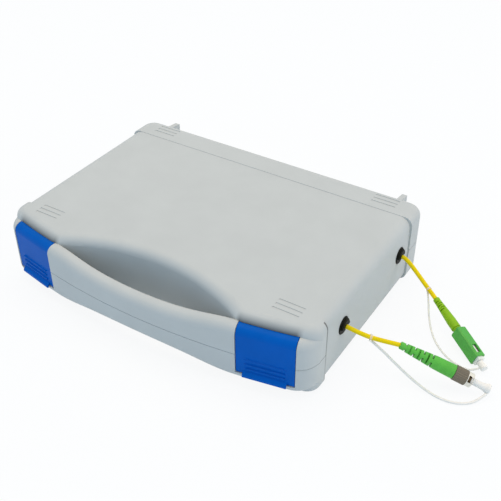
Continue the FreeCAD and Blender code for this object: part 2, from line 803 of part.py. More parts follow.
def foam_block(low, high):
    # Foam cut to the room inside a shell, given in heights from the parting plane
    room = cavity_block(half_height - panel_drop - wall)
    box_size = room.BoundBox
    scale_x = 1 - 2 * foam_clearance / box_size.XLength
    scale_y = 1 - 2 * foam_clearance / box_size.YLength
    matrix = FreeCAD.Matrix()
    matrix.scale(scale_x, scale_y, 1)
    middle_y = (cavity_front_y + cavity_rear_y) / 2
    room.translate(V(0, -middle_y, 0))
    room = room.transformGeometry(matrix)
    room.translate(V(0, middle_y, 0))
    layer = box((-case_width, case_width), (-case_depth, case_depth), (low, high))
    return room.common(layer)


def ring_solid(inner, outer, low, high):
    middle = V(coil_x, coil_y, low)
    disc = Part.makeCylinder(outer, high - low, middle)
    return disc.cut(Part.makeCylinder(inner, high - low, middle))


def foam_tray():
    # Foam in the upper shell with a ring channel for the coil and slots for the splices and cables
    top = half_height - panel_drop - wall
    solid = foam_block(foam_rise, top)
    channel_top = coil_rise + coil_height + coil_room + tie_wall
    room = coil_room + tie_wall
    cuts = [ring_solid(coil_inner_radius - room, coil_outer_radius + room, 0, channel_top)]
    slot_top = grommet_rise + tray_height / 2 + slot_room
    half_slot = tray_width / 2 + slot_room
    tray_x = (sleeve_inner_x - slot_room, sleeve_inner_x + sleeve_length + slot_room)
    half_cable = grommet_lip_radius + slot_room
    for y in (front_grommet_y, rear_grommet_y):
        cuts.append(box(tray_x, (y - half_slot, y + half_slot), (0, slot_top)))
        cable_x = (tray_x[1], case_width)
        cuts.append(box(cable_x, (y - half_cable, y + half_cable), (0, grommet_rise + half_cable)))
        end = lead_end(y)
        band = [V(tray_x[0], y - half_slot, 0), V(tray_x[0], y + half_slot, 0),
                V(end.x, end.y + half_slot, 0), V(end.x, end.y - half_slot, 0)]
        cuts.append(polygon(band).extrude(V(0, 0, slot_top)))
    solid = solid.cut(cuts)
    solid.translate(V(0, 0, half_height))
    return solid


def foam_pad():
    solid = foam_block(foam_rise, half_height - panel_drop - wall)
    solid = solid.mirror(V(0, 0, 0), V(0, 0, 1))
    solid.translate(V(0, 0, half_height - panel_drop))
    return solid


def fibre_coil():
    # Ring of wound fibre, seen as one body
    low = half_height + coil_rise
    section = ring_solid(coil_inner_radius, coil_outer_radius, low, low + coil_height)
    rims = [e for e in section.Edges if e.Curve.TypeId == "Part::GeomCircle"]
    return section.makeFillet(coil_round, rims)


def coil_ties():
    # Straps round the coil's section
    ties = []
    low = half_height + coil_rise - tie_clearance
    high = low + coil_height + 2 * tie_clearance
    inner = coil_inner_radius - tie_clearance
    outer = coil_outer_radius + tie_clearance
    across = (-tie_width / 2, tie_width / 2)
    for k in range(tie_count):
        strap = box((inner - tie_wall, outer + tie_wall), across, (low - tie_wall, high + tie_wall))
        strap = strap.cut(box((inner - tie_wall / 4, outer), (-tie_width, tie_width), (low, high)))
        strap.translate(V(coil_x, coil_y, 0))
        strap.rotate(V(coil_x, coil_y, 0), V(0, 0, 1), 90 + 360 * k / tie_count)
        ties.append(strap)
    return Part.makeCompound(ties)


def splice_tray(y):
    # Open clip trough that holds one splice sleeve
    x = sleeve_inner_x + (sleeve_length - tray_length) / 2
    z = half_height + grommet_rise
    low = z - tray_height / 2
    top = z + tray_height / 2
    block = box((x, x + tray_length), (y - tray_width / 2, y + tray_width / 2), (low, top))
    half = tray_width / 2 - tray_wall
    beyond = (x - tray_wall, x + tray_length + tray_wall)
    trough = box(beyond, (y - half, y + half), (low - tray_wall, top - tray_wall))
    tray = block.cut(trough)
    seat_radius = sleeve_diameter / 2 + cable_clearance
    mouth_half = sleeve_diameter / 2 - slot_room
    grips = []
    for end in (x + tray_wall, x + tray_length - 2 * tray_wall):
        rib = box((end, end + tray_wall), (y - half, y + half), (low, top - tray_wall))
        seat = Part.makeCylinder(seat_radius, 3 * tray_wall, V(end - tray_wall, y, z), V(1, 0, 0))
        through = (end - tray_wall, end + 2 * tray_wall)
        mouth = box(through, (y - mouth_half, y + mouth_half), (low - tray_wall, z))
        grips.append(rib.cut([seat, mouth]))
    return tray.multiFuse(grips)


def lead_end(y):
    # Where the lead on this side reaches the coil
    turn = math.radians(lead_end_angle)
    side = 1 if y > coil_y else -1
    rise = half_height + grommet_rise
    return V(coil_x + lead_circle * math.cos(turn), coil_y + side * lead_circle * math.sin(turn), rise)


def fibre_lead(name, y):
    # Bare fibre from a splice sleeve to the edge of the coil, in a slight double bend
    start = V(sleeve_inner_x, y, half_height + grommet_rise)
    end = lead_end(y)
    run = end - start
    step = V(lead_run_share * run.x, lead_turn_share * run.y, 0)
    points = [start, start + step, end - step, end]
    return cord(name, points, lead_diameter)


def turned(points):
    # Turns a profile of (distance, radius) pairs about +X
    return polygon([V(s, r, 0) for s, r in points]).revolve(V(0, 0, 0), V(1, 0, 0), 360)


def tube(start, end, outer, inner):
    return turned([(start, inner), (start, outer), (end, outer), (end, inner)])


def plug_place(shape, start, axis):
    # From a plug's own frame (+X forwards, Z upwards) to where it lies
    forward = V(axis.x, axis.y, axis.z)
    forward.normalize()
    across = V(0, 0, 1).cross(forward)
    across.normalize()
    turn = FreeCAD.Rotation(forward, across, forward.cross(across), "XYZ")
    shape.Placement = FreeCAD.Placement(start, turn)
    return shape


def fc_place(shape):
    return plug_place(shape, fc_start, fc_axis)


def sc_place(shape):
    return plug_place(shape, sc_start, sc_axis)


# Stations along the threaded plug
fc_nut_back = fc_boot_length + fc_nut_gap
fc_nut_front = fc_nut_back + fc_nut_length
fc_barrel_front = fc_nut_front - fc_barrel_setback
fc_flange_back = fc_nut_back + fc_nut_back_wall + fc_nut_gap
fc_stem_back = fc_boot_length - stem_length

# Stations along the push-pull plug
sc_housing_back = sc_boot_length - sc_housing_overlap
sc_housing_front = sc_housing_back + sc_housing_length
sc_nose_front = sc_housing_front + sc_nose_length
sc_room_back = sc_boot_length + sc_travel + sc_travel_room
sc_frame_back = sc_room_back + sc_slide_clearance
sc_stem_back = sc_boot_length - stem_length


def flex_slots(first, count, pitch, width, bridge, roll):
    # Ring slots that let a boot flex: each leaves two bridges, a quarter turn from its neighbours'
    wide = 2 * fc_nut_radius
    slots = []
    for k in range(count):
        s = first + k * pitch
        bridges = box((s, s + width), (-wide, wide), (-bridge / 2, bridge / 2))
        bridges.rotate(V(0, 0, 0), V(1, 0, 0), roll + 90 * (k % 2))
        slots.append(tube(s, s + width, wide, slot_core_radius).cut(bridges))
    return slots


def fc_boot():
    c = boot_chamfer
    collar = fc_collar_radius
    front = fc_boot_front_radius
    bore = crimp_radius + crimp_clearance
    bore_back = fc_stem_back - fc_nut_gap
    slot_end = fc_collar_length + fc_slot_width
    boot = turned([(0, 0), (0, collar - c), (c, collar), (fc_collar_length, collar),
                   (slot_end, fc_boot_back_radius), (fc_boot_wide_at, fc_boot_wide_radius),
                   (fc_boot_length - fc_boot_band, front), (fc_boot_length, front),
                   (fc_boot_length, bore), (bore_back, bore), (bore_back, 0)])
    slots = flex_slots(fc_collar_length, fc_slot_count, fc_slot_pitch, fc_slot_width, fc_slot_bridge, fc_roll)
    return fc_place(boot.cut(slots))


def crimp_sleeve(front):
    return tube(front - crimp_length, front, crimp_radius, stem_radius + crimp_clearance)


def fc_body():
    # Turned barrel with a retaining flange for the nut, a key, and a bored stem under the boot
    room_front = fc_barrel_front - ferrule_length + ferrule_reach + ferrule_collar_length
    room_back = room_front - ferrule_collar_length - spring_length - 2 * spring_gap
    flange_front = fc_flange_back + fc_flange_length
    profile = [(fc_stem_back, ferrule_bore), (fc_stem_back, stem_radius), (fc_boot_length, stem_radius),
               (fc_boot_length, fc_barrel_radius), (fc_flange_back, fc_barrel_radius),
               (fc_flange_back, fc_flange_radius), (flange_front, fc_flange_radius),
               (flange_front, fc_barrel_radius), (fc_barrel_front, fc_barrel_radius),
               (fc_barrel_front, ferrule_bore), (room_front, ferrule_bore),
               (room_front, spring_room_radius), (room_back, spring_room_radius), (room_back, ferrule_bore)]
    key = box((flange_front, flange_front + fc_key_length), (-fc_key_width / 2, fc_key_width / 2),
              (fc_barrel_radius - fc_key_rise, fc_barrel_radius + fc_key_rise))
    return fc_place(turned(profile).fuse(key))


def fluted(radius, depth, flutes):
    points = []
    for k in range(2 * flutes):
        r = radius - depth * (k % 2)
        turn = math.pi * k / flutes
        points.append(V(0, r * math.cos(turn), r * math.sin(turn)))
    return polygon(points)


def fc_coupling_nut():
    grip = fluted(fc_nut_radius, fc_flute_depth, fc_nut_flutes).extrude(V(fc_nut_grip_length, 0, 0))
    grip.translate(V(fc_nut_back, 0, 0))
    grip_front = fc_nut_back + fc_nut_grip_length
    smooth = fc_nut_radius - fc_flute_depth
    ring = turned([(grip_front, 0), (grip_front, smooth), (fc_nut_front - nut_chamfer, smooth),
                   (fc_nut_front, smooth - nut_chamfer), (fc_nut_front, 0)])
    back = tube(fc_nut_back - wall, fc_nut_front + wall, fc_barrel_radius + pin_clearance, 0)
    bore = tube(fc_nut_back + fc_nut_back_wall, fc_nut_front + wall, fc_nut_bore_radius, 0)
    window_back = grip_front + fc_window_gap
    wide = 2 * fc_nut_radius
    half = fc_window_width / 2
    window = box((window_back, window_back + fc_window_length), (-wide, wide), (-half, half))
    window.rotate(V(0, 0, 0), V(1, 0, 0), fc_roll)
    return fc_place(grip.fuse(ring).cut([back, bore, window]))


def ferrule(front):
    # Ceramic ferrule with its collar, spring side at the back
    tip = front + ferrule_reach
    back = tip - ferrule_length
    collar = back + ferrule_collar_length
    c = ferrule_chamfer
    return turned([(back, 0), (back, ferrule_collar_radius), (collar, ferrule_collar_radius),
                   (collar, ferrule_radius), (tip - c, ferrule_radius), (tip, ferrule_radius - c), (tip, 0)])


def ferrule_spring(front):
    end = front + ferrule_reach - ferrule_length - spring_gap
    return tube(end - spring_length, end, ferrule_collar_radius, ferrule_collar_radius - spring_wall)


def dust_cap(front, length, neck, rim, rim_length):
    # Push-on cap: a neck over the ferrule and a flared rim that carries the tether
    start = front + cap_gap
    end = start + length
    bore = ferrule_radius + cap_clearance
    bottom = front + ferrule_reach + cap_gap
    flare = end - 2 * rim_length
    return turned([(start, bore), (start, neck), (flare, neck), (end - rim_length, rim),
                   (end - cap_chamfer, rim), (end, rim - cap_chamfer), (end, 0), (bottom, 0), (bottom, bore)])


def tether(name, route, diameter, carrier, ring_at):
    # Strap that starts at a ring round a bend of its cable
    k = carrier.index(ring_at)
    start, middle, end, radius = bend(carrier[k - 1], carrier[k], carrier[k + 1])
    forward = end - start
    forward.normalize()
    bore = cable_radius + ring_gap
    back = middle - forward * (ring_width / 2)
    ring = Part.makeCylinder(bore + diameter * ring_wall_share, ring_width, back, forward)
    ring = ring.cut(Part.makeCylinder(bore, ring_width, back, forward))
    print(name, "ring centre", middle, "along", forward)
    return cord(name, route, diameter).fuse(ring)


def sc_boot():
    c = boot_chamfer
    back = sc_boot_back_radius
    bore = crimp_radius + crimp_clearance
    bore_back = sc_stem_back - fc_nut_gap
    shoulder = sc_housing_back - sc_travel - sc_travel_room
    boot = turned([(0, 0), (0, back - c), (c, back), (fc_collar_length, back),
                   (shoulder - 2 * fc_collar_length, sc_boot_front_radius), (shoulder, sc_boot_front_radius),
                   (shoulder, sc_boot_nose_radius), (sc_boot_length, sc_boot_nose_radius),
                   (sc_boot_length, bore), (bore_back, bore), (bore_back, 0)])
    slots = flex_slots(fc_collar_length, sc_slot_count, sc_slot_pitch, sc_slot_width, sc_slot_bridge, sc_roll)
    return sc_place(boot.cut(slots))


def sc_housing():
    # Sliding grip with bevelled edges, and a window on each side over the latch shoulders
    w = sc_housing_width / 2
    h = sc_housing_height / 2
    c = sc_housing_chamfer
    quarter = [(w, h - c), (w - c, h)]
    outline = quarter + [(-y, z) for y, z in reversed(quarter)]
    outline += [(-y, -z) for y, z in outline]
    solid = polygon([V(sc_housing_back, y, z) for y, z in outline]).extrude(V(sc_housing_length, 0, 0))
    rear = [e for e in solid.Edges if all(abs(v.X - sc_housing_back) < 1e-6 for v in e.Vertexes)]
    solid = solid.makeChamfer(sc_rear_bevel, rear)
    iw = w - sc_housing_wall
    ih = h - sc_housing_wall
    cuts = [box((sc_room_back, sc_housing_front + wall), (-iw, iw), (-ih, ih))]
    cuts.append(tube(sc_housing_back - wall, sc_room_back, sc_boot_nose_radius + 2 * sc_slide_clearance, 0))
    window_front = sc_housing_front - sc_window_setback
    half = sc_window_height / 2
    cuts.append(box((window_front - sc_window_length, window_front), (-2 * w, 2 * w), (-half, half)))
    return sc_place(solid.cut(cuts))


def sc_inner_body():
    # Plug frame under the sliding grip, bored for the ferrule, with the stem under the boot
    iw = sc_housing_width / 2 - sc_housing_wall - sc_slide_clearance
    ih = sc_housing_height / 2 - sc_housing_wall - sc_slide_clearance
    frame = box((sc_frame_back, sc_nose_front), (-iw, iw), (-ih, ih))
    long_edges = [e for e in frame.Edges if e.Length > sc_housing_length / 2]
    frame = frame.makeChamfer(sc_frame_chamfer, long_edges)
    stem = tube(sc_stem_back, sc_frame_back + sc_housing_overlap, stem_radius, 0)
    room_front = sc_nose_front - ferrule_length + ferrule_reach + ferrule_collar_length
    room_back = room_front - ferrule_collar_length - spring_length - 2 * spring_gap
    bore = tube(sc_stem_back - wall, sc_nose_front + wall, ferrule_bore, 0)
    room = tube(room_back, room_front, spring_room_radius, 0)
    return sc_place(frame.fuse(stem).cut([bore, room]))


def fc_cap():
    cap = dust_cap(fc_barrel_front, fc_cap_length, fc_cap_neck_radius, fc_cap_rim_radius, fc_cap_rim_length)
    return fc_place(cap)


def sc_cap():
    cap = dust_cap(sc_nose_front, sc_cap_length, sc_cap_neck_radius, sc_cap_rim_radius, sc_cap_rim_length)
    return sc_place(cap)


def export(name, shape):
    shape = shape.removeSplitter() if shape.ShapeType != "Compound" or len(shape.Solids) == 1 else shape
    if len(shape.Solids) == 1:
        shape = shape.Solids[0]
    print(name, "solids", len(shape.Solids), "volume", round(shape.Volume, 1), "valid", shape.isValid())
    shape.exportStep("parts/" + name + ".step")


right_latch = latch()
export("top_shell", top_shell())
export("bottom_shell", bottom_shell())
export("right_latch", right_latch)
export("left_latch", right_latch.mirror(V(0, 0, 0), V(1, 0, 0)))
export("foam_tray", foam_tray())
export("foam_pad", foam_pad())
export("fibre_coil", fibre_coil())
export("coil_ties", coil_ties())
for side, y, route in (("front", front_grommet_y, front_route), ("rear", rear_grommet_y, rear_route)):
    export(side + "_grommet", grommet(y))
    export(side + "_splice_tray", splice_tray(y))
    export(side + "_splice_sleeve", splice_sleeve(y))
    export(side + "_fibre_lead", fibre_lead(side + "_fibre_lead", y))
    export(side + "_tail", cord(side + "_tail", route, cable_diameter))
export("fc_boot", fc_boot())
export("fc_crimp_sleeve", fc_place(crimp_sleeve(fc_boot_length)))
export("fc_body", fc_body())
export("fc_coupling_nut", fc_coupling_nut())
export("fc_ferrule", fc_place(ferrule(fc_barrel_front)))
export("fc_spring", fc_place(ferrule_spring(fc_barrel_front)))
export("fc_cap", fc_cap())
export("fc_tether", tether("fc_tether", fc_tether_route, fc_tether_diameter, front_route, fc_ring_at))
export("sc_boot", sc_boot())
export("sc_crimp_sleeve", sc_place(crimp_sleeve(sc_boot_length)))
export("sc_housing", sc_housing())
export("sc_inner_body", sc_inner_body())
export("sc_ferrule", sc_place(ferrule(sc_nose_front)))
export("sc_spring", sc_place(ferrule_spring(sc_nose_front)))
export("sc_cap", sc_cap())
export("sc_tether", tether("sc_tether", sc_tether_route, sc_tether_diameter, rear_route, sc_ring_at))
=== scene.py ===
import bmesh
import bpy
import numpy as np
from mathutils import Matrix, Vector


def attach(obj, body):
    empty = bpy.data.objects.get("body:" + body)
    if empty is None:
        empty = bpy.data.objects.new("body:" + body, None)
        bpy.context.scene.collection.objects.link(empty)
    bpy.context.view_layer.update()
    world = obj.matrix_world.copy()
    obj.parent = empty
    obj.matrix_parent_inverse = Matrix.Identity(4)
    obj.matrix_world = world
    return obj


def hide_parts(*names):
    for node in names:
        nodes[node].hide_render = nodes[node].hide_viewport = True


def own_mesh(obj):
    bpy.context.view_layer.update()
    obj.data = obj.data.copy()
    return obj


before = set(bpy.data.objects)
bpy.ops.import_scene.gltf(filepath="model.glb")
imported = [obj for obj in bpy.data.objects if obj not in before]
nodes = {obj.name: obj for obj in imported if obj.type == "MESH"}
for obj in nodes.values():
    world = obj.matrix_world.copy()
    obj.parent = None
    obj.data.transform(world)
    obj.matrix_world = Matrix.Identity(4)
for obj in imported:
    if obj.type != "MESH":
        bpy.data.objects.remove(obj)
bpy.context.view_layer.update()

print("frame loaded:", len(nodes), "nodes")

# View: the photograph's corner view, from the front right and above
view = dict(
    place=(0.28045, -0.39223, 0.38044),
    right=(0.84470, 0.53520, -0.00403),
    down=(0.31900, -0.50955, -0.79911),
    lens=59.04,
    sensor=36.0,
)


def addCamera(look):
    data = bpy.data.cameras.new("viewCamera")
    data.lens = look["lens"]
    data.sensor_width = look["sensor"]
    data.clip_start = 0.01
    camera = bpy.data.objects.new("viewCamera", data)
    right = Vector(look["right"]).normalized()
    back = right.cross(-Vector(look["down"])).normalized()
    up = back.cross(right)
    turn = Matrix((right, up, back)).transposed().to_4x4()
    camera.matrix_world = Matrix.Translation(look["place"]) @ turn
    bpy.context.scene.collection.objects.link(camera)
    bpy.context.scene.camera = camera


addCamera(view)
print("camera placed")

# Where each plug starts, at its cable's end, and the way it points
frontPlug = dict(start=(0.1576, -0.0264, 0.0243), axis=(0.9210, 0.2126, -0.3260))
rearPlug = dict(start=(0.1566, 0.0378, 0.0152), axis=(0.7970, -0.5760, -0.1830))


# Node helpers for the finishes
def linear(red, green, blue):
    shade = np.array([red, green, blue]) / 255.0   # display values to scene-linear, alpha one
    level = np.where(shade <= 0.04045, shade / 12.92, ((shade + 0.055) / 1.055) ** 2.4)
    return (*level, 1.0)


def newFinish(name, look):
    material = bpy.data.materials.new(name)
    material.use_nodes = True
    tree = material.node_tree
    shader = tree.nodes["Principled BSDF"]
    for socket, value in look.get("sockets", {}).items():
        shader.inputs[socket].default_value = value
    coords = tree.nodes.new("ShaderNodeTexCoord")
    return material, tree, shader, coords.outputs["Object"]


def noise(tree, coords, size, detail=3.0):
    node = tree.nodes.new("ShaderNodeTexNoise")    # size is that of one blotch, in metres
    node.inputs["Scale"].default_value = 1.0 / size
    node.inputs["Detail"].default_value = detail
    tree.links.new(coords, node.inputs["Vector"])
    return node.outputs["Fac"]


def streaks(tree, along, pitch, detail):
    node = tree.nodes.new("ShaderNodeTexNoise")    # uneven lines across one way, pitch in metres
    node.noise_dimensions = "1D"
    node.inputs["Scale"].default_value = 1.0 / pitch
    node.inputs["Detail"].default_value = detail
    tree.links.new(along, node.inputs["W"])
    return node.outputs["Fac"]


def cells(tree, coords, size, feature="F1"):
    node = tree.nodes.new("ShaderNodeTexVoronoi")
    node.feature = feature
    node.inputs["Scale"].default_value = 1.0 / size
    tree.links.new(coords, node.inputs["Vector"])
    return node.outputs["Distance"]


def ramp(tree, factor, stops, step=False):
    node = tree.nodes.new("ShaderNodeValToRGB")
    node.color_ramp.interpolation = "CONSTANT" if step else "LINEAR"
    points = node.color_ramp.elements
    while len(points) < len(stops):
        points.new(1.0)
    for point, (place, colour) in zip(points, stops):
        point.position = place
        point.color = colour
    tree.links.new(factor, node.inputs["Fac"])
    return node.outputs["Color"]


def levels(tree, factor, low, high, start=0.3, end=0.7):
    node = tree.nodes.new("ShaderNodeMapRange")
    for socket, value in (("From Min", start), ("From Max", end), ("To Min", low), ("To Max", high)):
        node.inputs[socket].default_value = value
    tree.links.new(factor, node.inputs["Value"])
    return node.outputs["Result"]


def maths(tree, kind, first, second):
    node = tree.nodes.new("ShaderNodeMath")
    node.operation = kind
    for socket, value in zip(node.inputs, (first, second)):
        if isinstance(value, (int, float)):
            socket.default_value = value
        else:
            tree.links.new(value, socket)
    return node.outputs["Value"]


def relief(tree, shader, height, depth, strength=1.0):
    node = tree.nodes.new("ShaderNodeBump")        # depth in metres
    node.inputs["Strength"].default_value = strength
    node.inputs["Distance"].default_value = depth
    tree.links.new(height, node.inputs["Height"])
    tree.links.new(node.outputs["Normal"], shader.inputs["Normal"])


def tinted(colour, share):
    return (*(np.clip(np.array(colour[:3]) * share, 0.0, 1.0)), 1.0)


# Moulded plastic and rubber: a faint cloudy colour, a fine spark-eroded grain and uneven gloss
plastics = dict(
    caseGrey=dict(colour=linear(193, 195, 193), cloud=0.02, cloudSize=0.022, grain=0.00042,
                  grainDepth=0.000012, gloss=(0.50, 0.60), sockets={"Specular IOR Level": 0.35},
                  # painted shade: a dark line along the front pillars' rear edges, darker upwards
                  pillarGapShade=dict(beyond=0.1190, start=-0.0622, end=-0.0609, low=0.008, high=0.0525,
                              shades=(0.80, 0.30)),
                  # painted shade: a soft dark band above each latch, fading upwards and to both ends
                  dip=dict(inner=(0.0720, 0.0750), outer=(0.1150, 0.1110), front=-0.066,
                           low=0.0481, high=0.0532, shades=(0.20, 1.0))),
    latchBlue=dict(colour=linear(0, 92, 184), cloud=0.04, cloudSize=0.012, grain=0.00035,
                   grainDepth=0.000008, gloss=(0.34, 0.42), sockets={"Specular IOR Level": 0.05}),
    grommetRubber=dict(colour=linear(10, 14, 5), cloud=0.20, cloudSize=0.004, grain=0.00030,
                       grainDepth=0.000015, gloss=(0.48, 0.62), sockets={"Specular IOR Level": 0.14}),
    cableYellow=dict(colour=linear(237, 208, 0), cloud=0.06, cloudSize=0.008, grain=0.00025,
                     grainDepth=0.000008, gloss=(0.34, 0.44), sockets={"Specular IOR Level": 0.14}),
    bootGreen=dict(colour=linear(92, 182, 68), cloud=0.07, cloudSize=0.005, grain=0.00022,
                   grainDepth=0.000010, gloss=(0.40, 0.52), sockets={"Specular IOR Level": 0.25}),
    bootLime=dict(colour=linear(136, 184, 12), cloud=0.07, cloudSize=0.005, grain=0.00022,
                  grainDepth=0.000010, gloss=(0.42, 0.54), sockets={"Specular IOR Level": 0.25}),
    housingGreen=dict(colour=linear(80, 172, 66), cloud=0.05, cloudSize=0.006, grain=0.00020,
                      grainDepth=0.000006, gloss=(0.26, 0.36), sockets={"Specular IOR Level": 0.3}),
    trayWhite=dict(colour=linear(226, 227, 224), cloud=0.03, cloudSize=0.010, grain=0.00030,
                   grainDepth=0.000006, gloss=(0.34, 0.44), sockets={"Specular IOR Level": 0.45}),
    innerWhite=dict(colour=linear(240, 238, 232), cloud=0.02, cloudSize=0.006, grain=0.00025,
                    grainDepth=0.000005, gloss=(0.26, 0.34), sockets={"Specular IOR Level": 0.5},
                    # painted shade: a dark slot on one side of the frame, as long as the grip's window
                    gap=dict(axis=rearPlug["axis"], start=0.1441, end=0.1509,
                             side=(-0.5113, -0.8039, 0.3038), below=-0.1066, shades=(0.10, 0.16))),
    ferruleWhite=dict(colour=linear(240, 240, 238), cloud=0.015, cloudSize=0.003, grain=0.00012,
                      grainDepth=0.000002, gloss=(0.08, 0.14), sockets={"Specular IOR Level": 0.6}),
)


def sidesAndHeight(tree, coords):
    place = tree.nodes.new("ShaderNodeSeparateXYZ")    # distance from the middle plane, then y and z
    tree.links.new(coords, place.inputs["Vector"])
    x, y, z = place.outputs
    return maths(tree, "ABSOLUTE", x, 0.0), y, z


# Multiplies the colour by a painted shade wherever every mask holds
def darkened(tree, colour, shade, masks):
    mask = masks[0]
    for other in masks[1:]:
        mask = maths(tree, "MULTIPLY", mask, other)
    mix = tree.nodes.new("ShaderNodeMix")
    mix.data_type = "RGBA"
    mix.blend_type = "MULTIPLY"
    tree.links.new(mask, mix.inputs[0])
    tree.links.new(colour, mix.inputs[6])
    tree.links.new(shade, mix.inputs[7])
    return mix.outputs[2]


def paintedPillarGapShade(tree, coords, colour, line):
    # Painted shade: a dark line along the rear edge of the front pillars, standing for the shade in the seam
    # between parts there; it darkens upwards, and ends under the top rim
    x, y, z = sidesAndHeight(tree, coords)
    masks = [maths(tree, "GREATER_THAN", x, line["beyond"]), maths(tree, "GREATER_THAN", y, line["start"]),
             maths(tree, "LESS_THAN", y, line["end"]), maths(tree, "LESS_THAN", z, line["high"])]
    return darkened(tree, colour, levels(tree, z, *line["shades"], line["low"], line["high"]), masks)


def dipped(tree, coords, colour, band):
    # Painted shade: a soft dark band where the lid runs down to the latches' round tops, standing for the
    # shade of a hollow there; it fades upwards and to both ends
    x, y, z = sidesAndHeight(tree, coords)
    masks = [levels(tree, x, 0.0, 1.0, *band["inner"]), levels(tree, x, 0.0, 1.0, *band["outer"]),
             maths(tree, "LESS_THAN", y, band["front"]), maths(tree, "GREATER_THAN", z, band["low"])]
    return darkened(tree, colour, levels(tree, z, *band["shades"], band["low"], band["high"]), masks)


def distanceAlong(tree, coords, axis):
    node = tree.nodes.new("ShaderNodeVectorMath")
    node.operation = "DOT_PRODUCT"                 # from the frame's origin
    node.inputs[1].default_value = axis
    tree.links.new(coords, node.inputs[0])
    return node.outputs["Value"]


def gapped(tree, coords, colour, slot):
    # Painted shade: a dark slot on one side of the plug's inner frame, as long as the grip's window, standing
    # for the shade in the space beside the frame
    along = distanceAlong(tree, coords, slot["axis"])
    masks = [maths(tree, "GREATER_THAN", along, slot["start"]), maths(tree, "LESS_THAN", along, slot["end"]),
             maths(tree, "LESS_THAN", distanceAlong(tree, coords, slot["side"]), slot["below"])]
    return darkened(tree, colour, levels(tree, along, *slot["shades"], slot["start"], slot["end"]), masks)


def mouldedPlastic(name, look):
    material, tree, shader, coords = newFinish(name, look)
    cloud = noise(tree, coords, look["cloudSize"])
    dark = tinted(look["colour"], 1.0 - look["cloud"])
    light = tinted(look["colour"], 1.0 + look["cloud"])
    colour = ramp(tree, cloud, [(0.3, dark), (0.7, light)])
    # painted shade: a dark line along the front pillars' rear edges
    if "pillarGapShade" in look:
        colour = paintedPillarGapShade(tree, coords, colour, look["pillarGapShade"])
    # painted shade: a dark band where the lid runs down to the latches
    if "dip" in look:
        colour = dipped(tree, coords, colour, look["dip"])
    # painted shade: a dark slot on the plug's frame beside the grip's window
    if "gap" in look:
        colour = gapped(tree, coords, colour, look["gap"])
    tree.links.new(colour, shader.inputs["Base Color"])
    grain = noise(tree, coords, look["grain"], 2.0)
    tree.links.new(levels(tree, grain, *look["gloss"]), shader.inputs["Roughness"])
    relief(tree, shader, grain, look["grainDepth"])
    return material


finishes = {name: mouldedPlastic(name, look) for name, look in plastics.items()}

# See-through plastic: milky dust caps and tethers, and the splice sleeves
clears = dict(
    capClear=dict(colour=linear(248, 242, 234), haze=(0.46, 0.54), hazeSize=0.0040, ripple=0.000004,
                  sockets={"Specular IOR Level": 0.3}),
    ringClear=dict(colour=linear(250, 246, 236), haze=(0.30, 0.40), hazeSize=0.0030, ripple=0.000002,
                   sockets={"Transmission Weight": 0.7, "IOR": 1.08}),
    sleeveClear=dict(colour=linear(232, 236, 240), haze=(0.10, 0.22), hazeSize=0.004, ripple=0.000008,
                     sockets={"Transmission Weight": 0.75, "IOR": 1.45}),
)


def milkyPlastic(name, look):
    material, tree, shader, coords = newFinish(name, look)
    cloud = noise(tree, coords, look["hazeSize"])
    shades = [(0.3, tinted(look["colour"], 0.94)), (0.7, look["colour"])]
    tree.links.new(ramp(tree, cloud, shades), shader.inputs["Base Color"])
    tree.links.new(levels(tree, cloud, *look["haze"]), shader.inputs["Roughness"])
    relief(tree, shader, cloud, look["ripple"])
    return material


finishes.update({name: milkyPlastic(name, look) for name, look in clears.items()})

# Turned metal: fine tool rings round the plug's axis
metals = dict(
    nutMetal=dict(axis=frontPlug["axis"], colour=linear(114, 106, 92), bright=linear(228, 225, 214),
                  brightFrom=0.1771, gloss=(0.26, 0.38), ringPitch=0.00011, ringDepth=0.000004,
                  sockets={"Metallic": 0.55}),
    barrelMetal=dict(axis=frontPlug["axis"], colour=linear(206, 202, 192), bright=linear(206, 202, 192),
                     brightFrom=1.0, gloss=(0.18, 0.28), ringPitch=0.00014, ringDepth=0.000004,
                     sockets={"Metallic": 1.0}),
    # threadMetal: its dark brown is partly the body's own tone and partly painted shade for the inside of the
    # nut, seen through its window
    threadMetal=dict(axis=frontPlug["axis"], colour=linear(92, 78, 58), bright=linear(92, 78, 58),
                     brightFrom=1.0, gloss=(0.34, 0.50), ringPitch=0.00050, ringDepth=0.000090,
                     sockets={"Metallic": 0.8}),
    springSteel=dict(axis=rearPlug["axis"], colour=linear(176, 178, 180), bright=linear(176, 178, 180),
                     brightFrom=1.0, gloss=(0.20, 0.30), ringPitch=0.00012, ringDepth=0.000002,
                     sockets={"Metallic": 1.0}),
)


def turnedMetal(name, look):
    material, tree, shader, coords = newFinish(name, look)
    place = distanceAlong(tree, coords, look["axis"])
    rings = streaks(tree, place, look["ringPitch"], 2.0)
    front = maths(tree, "GREATER_THAN", place, look["brightFrom"])
    shades = [(0.0, look["colour"]), (1.0, look["bright"])]
    tree.links.new(ramp(tree, front, shades), shader.inputs["Base Color"])
    tree.links.new(levels(tree, rings, *look["gloss"]), shader.inputs["Roughness"])
    relief(tree, shader, rings, look["ringDepth"])
    return material


finishes.update({name: turnedMetal(name, look) for name, look in metals.items()})

# Foam: open cells, each pore darker towards its middle, where the relief is lowest: painted shade in the
# pores
foamLook = dict(pale=linear(52, 53, 56), deep=linear(20, 20, 22), poreSize=0.0011, poreDepth=0.00016,
                gloss=(0.80, 0.95), sockets={"Specular IOR Level": 0.25})


def openFoam(name, look):
    material, tree, shader, coords = newFinish(name, look)
    pores = cells(tree, coords, look["poreSize"])
    shades = [(0.15, look["deep"]), (0.65, look["pale"])]
    tree.links.new(ramp(tree, pores, shades), shader.inputs["Base Color"])
    tree.links.new(levels(tree, pores, *look["gloss"]), shader.inputs["Roughness"])
    relief(tree, shader, pores, look["poreDepth"])
    return material


